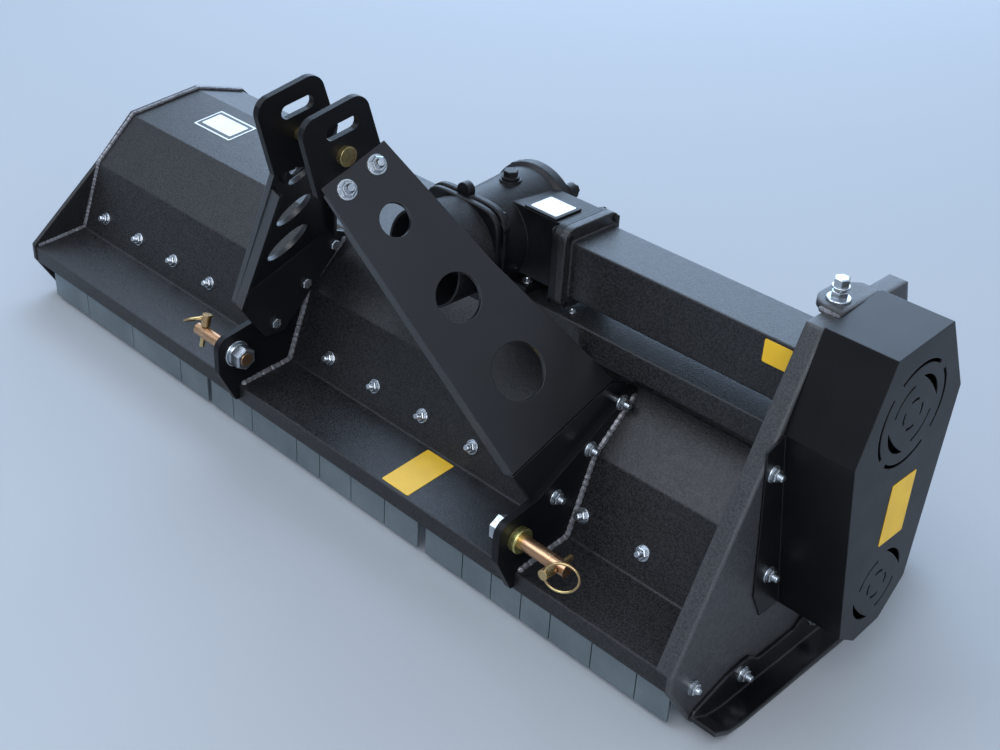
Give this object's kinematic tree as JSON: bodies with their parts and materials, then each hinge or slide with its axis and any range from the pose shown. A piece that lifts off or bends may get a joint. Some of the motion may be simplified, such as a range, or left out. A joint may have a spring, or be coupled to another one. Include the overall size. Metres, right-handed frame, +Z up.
{
  "type": "flail mower",
  "caption": "Tractor-mounted flail mower with offset three-point headstock, gearbox, side belt drive, folded hood, swinging front flaps and rear roller.",
  "frame": {"origin": "bottom centre of the whole part", "axes": "+X towards the belt drive, +Y rearward, +Z up"},
  "size_m": [1.711, 0.7385, 0.7341],
  "materials": {
    "hammered_grey": "hammered satin paint",
    "headstock_black": "satin black paint",
    "cast_black": "black paint on casting",
    "guard_plastic": "moulded",
    "cover_grey": "smooth satin paint",
    "flap_zinc": "zinc plated",
    "yellow_zinc": "yellow passivated zinc",
    "bright_zinc": "bright zinc",
    "shaft_steel": "machined",
    "belt_rubber": "moulded",
    "rotor_dark": "dark paint"
  },
  "bodies": {
    "frame": {"hood": "hammered_grey", "left_side_plate": "hammered_grey", "right_side_plate": "hammered_grey", "cross_beam": "hammered_grey", "left_hitch_lug": "headstock_black", "right_hitch_lug": "headstock_black", "left_brace": "headstock_black", "right_brace": "headstock_black", "left_clevis_plate": "headstock_black", "right_clevis_plate": "headstock_black", "headstock_bolts": "bright_zinc", "left_link_pin": "yellow_zinc", "right_link_pin": "yellow_zinc", "top_link_pin": "yellow_zinc", "gearbox_housing": "cast_black", "oil_plug": "cast_black", "pto_guard": "guard_plastic", "shaft_tube": "hammered_grey", "tensioner_bolt": "bright_zinc", "belt_cover": "cover_grey", "cover_bolts": "bright_zinc", "left_skid": "headstock_black", "right_skid": "headstock_black", "chassis_bolts": "bright_zinc", "flap_rod": "bright_zinc", "counter_bar": "rotor_dark", "panel_bolts": "bright_zinc", "left_rotor_bearing": "rotor_dark", "right_rotor_bearing": "rotor_dark", "drive_belts": "belt_rubber", "left_roller_arm": "hammered_grey", "right_roller_arm": "hammered_grey"},
    "input": {"input_shaft": "shaft_steel"},
    "drive": {"drive_shaft": "shaft_steel", "upper_pulley": "rotor_dark"},
    "rotor": {"rotor": "rotor_dark", "lower_pulley": "rotor_dark"},
    "hammer_row_a": {"hammers_a": "rotor_dark"},
    "hammer_row_b": {"hammers_b": "rotor_dark"},
    "rear_roller": {"roller": "rotor_dark"},
    "linchpin_left": {"left_linchpin": "yellow_zinc"},
    "linchpin_right": {"right_linchpin": "yellow_zinc"},
    "body_flap_01": {"flap_01": "flap_zinc"},
    "body_flap_02": {"flap_02": "flap_zinc"},
    "body_flap_03": {"flap_03": "flap_zinc"},
    "body_flap_04": {"flap_04": "flap_zinc"},
    "body_flap_05": {"flap_05": "flap_zinc"},
    "body_flap_06": {"flap_06": "flap_zinc"},
    "body_flap_07": {"flap_07": "flap_zinc"},
    "body_flap_08": {"flap_08": "flap_zinc"},
    "body_flap_09": {"flap_09": "flap_zinc"},
    "body_flap_10": {"flap_10": "flap_zinc"},
    "body_flap_11": {"flap_11": "flap_zinc"},
    "body_flap_12": {"flap_12": "flap_zinc"},
    "body_flap_13": {"flap_13": "flap_zinc"},
    "body_flap_14": {"flap_14": "flap_zinc"},
    "body_flap_15": {"flap_15": "flap_zinc"},
    "body_flap_16": {"flap_16": "flap_zinc"},
    "body_flap_17": {"flap_17": "flap_zinc"},
    "body_flap_18": {"flap_18": "flap_zinc"}
  },
  "joints": [
    {"name": "input_spin", "type": "hinge", "parent": "frame", "child": "input", "pos_m": [0.2015, -0.12868, 0.479], "axis": [0, 1, 0], "continuous": true},
    {"name": "drive_spin", "type": "hinge", "parent": "frame", "child": "drive", "pos_m": [0.4315, -0.00268, 0.479], "axis": [1, 0, 0], "continuous": true},
    {"name": "rotor_spin", "type": "hinge", "parent": "frame", "child": "rotor", "pos_m": [0.1315, 0.05632, 0.18], "axis": [1, 0, 0], "continuous": true},
    {"name": "hammers_a_swing", "type": "hinge", "parent": "rotor", "child": "hammer_row_a", "pos_m": [0.1315, 0.05632, 0.24], "axis": [1, 0, 0], "range_deg": [-60, 60]},
    {"name": "hammers_b_swing", "type": "hinge", "parent": "rotor", "child": "hammer_row_b", "pos_m": [0.1315, 0.05632, 0.12], "axis": [1, 0, 0], "range_deg": [-60, 60]},
    {"name": "roller_spin", "type": "hinge", "parent": "frame", "child": "rear_roller", "pos_m": [0.1315, 0.31932, 0.05], "axis": [1, 0, 0], "continuous": true},
    {"name": "left_linchpin_pull", "type": "slide", "parent": "frame", "child": "linchpin_left", "axis": [0, 0.2588, 0.9659], "range_m": [0, 0.06]},
    {"name": "right_linchpin_pull", "type": "slide", "parent": "frame", "child": "linchpin_right", "axis": [0, -1, 0], "range_m": [0, 0.06]},
    {"name": "flap_01_swing", "type": "hinge", "parent": "frame", "child": "body_flap_01", "pos_m": [0.1315, -0.20368, 0.086], "axis": [1, 0, 0], "range_deg": [0, 60]},
    {"name": "flap_02_swing", "type": "hinge", "parent": "frame", "child": "body_flap_02", "pos_m": [0.1315, -0.20368, 0.086], "axis": [1, 0, 0], "range_deg": [0, 60]},
    {"name": "flap_03_swing", "type": "hinge", "parent": "frame", "child": "body_flap_03", "pos_m": [0.1315, -0.20368, 0.086], "axis": [1, 0, 0], "range_deg": [0, 60]},
    {"name": "flap_04_swing", "type": "hinge", "parent": "frame", "child": "body_flap_04", "pos_m": [0.1315, -0.20368, 0.086], "axis": [1, 0, 0], "range_deg": [0, 60]},
    {"name": "flap_05_swing", "type": "hinge", "parent": "frame", "child": "body_flap_05", "pos_m": [0.1315, -0.20368, 0.086], "axis": [1, 0, 0], "range_deg": [0, 60]},
    {"name": "flap_06_swing", "type": "hinge", "parent": "frame", "child": "body_flap_06", "pos_m": [0.1315, -0.20368, 0.086], "axis": [1, 0, 0], "range_deg": [0, 60]},
    {"name": "flap_07_swing", "type": "hinge", "parent": "frame", "child": "body_flap_07", "pos_m": [0.1315, -0.20368, 0.086], "axis": [1, 0, 0], "range_deg": [0, 60]},
    {"name": "flap_08_swing", "type": "hinge", "parent": "frame", "child": "body_flap_08", "pos_m": [0.1315, -0.20368, 0.086], "axis": [1, 0, 0], "range_deg": [0, 60]},
    {"name": "flap_09_swing", "type": "hinge", "parent": "frame", "child": "body_flap_09", "pos_m": [0.1315, -0.20368, 0.086], "axis": [1, 0, 0], "range_deg": [0, 60]},
    {"name": "flap_10_swing", "type": "hinge", "parent": "frame", "child": "body_flap_10", "pos_m": [0.1315, -0.20368, 0.086], "axis": [1, 0, 0], "range_deg": [0, 60]},
    {"name": "flap_11_swing", "type": "hinge", "parent": "frame", "child": "body_flap_11", "pos_m": [0.1315, -0.20368, 0.086], "axis": [1, 0, 0], "range_deg": [0, 60]},
    {"name": "flap_12_swing", "type": "hinge", "parent": "frame", "child": "body_flap_12", "pos_m": [0.1315, -0.20368, 0.086], "axis": [1, 0, 0], "range_deg": [0, 60]},
    {"name": "flap_13_swing", "type": "hinge", "parent": "frame", "child": "body_flap_13", "pos_m": [0.1315, -0.20368, 0.086], "axis": [1, 0, 0], "range_deg": [0, 60]},
    {"name": "flap_14_swing", "type": "hinge", "parent": "frame", "child": "body_flap_14", "pos_m": [0.1315, -0.20368, 0.086], "axis": [1, 0, 0], "range_deg": [0, 60]},
    {"name": "flap_15_swing", "type": "hinge", "parent": "frame", "child": "body_flap_15", "pos_m": [0.1315, -0.20368, 0.086], "axis": [1, 0, 0], "range_deg": [0, 60]},
    {"name": "flap_16_swing", "type": "hinge", "parent": "frame", "child": "body_flap_16", "pos_m": [0.1315, -0.20368, 0.086], "axis": [1, 0, 0], "range_deg": [0, 60]},
    {"name": "flap_17_swing", "type": "hinge", "parent": "frame", "child": "body_flap_17", "pos_m": [0.1315, -0.20368, 0.086], "axis": [1, 0, 0], "range_deg": [0, 60]},
    {"name": "flap_18_swing", "type": "hinge", "parent": "frame", "child": "body_flap_18", "pos_m": [0.1315, -0.20368, 0.086], "axis": [1, 0, 0], "range_deg": [0, 60]}
  ],
  "couplings": [
    {"joint": "drive_spin", "follows": "input_spin", "ratio": -2},
    {"joint": "rotor_spin", "follows": "input_spin", "ratio": -2.2609}
  ]
}
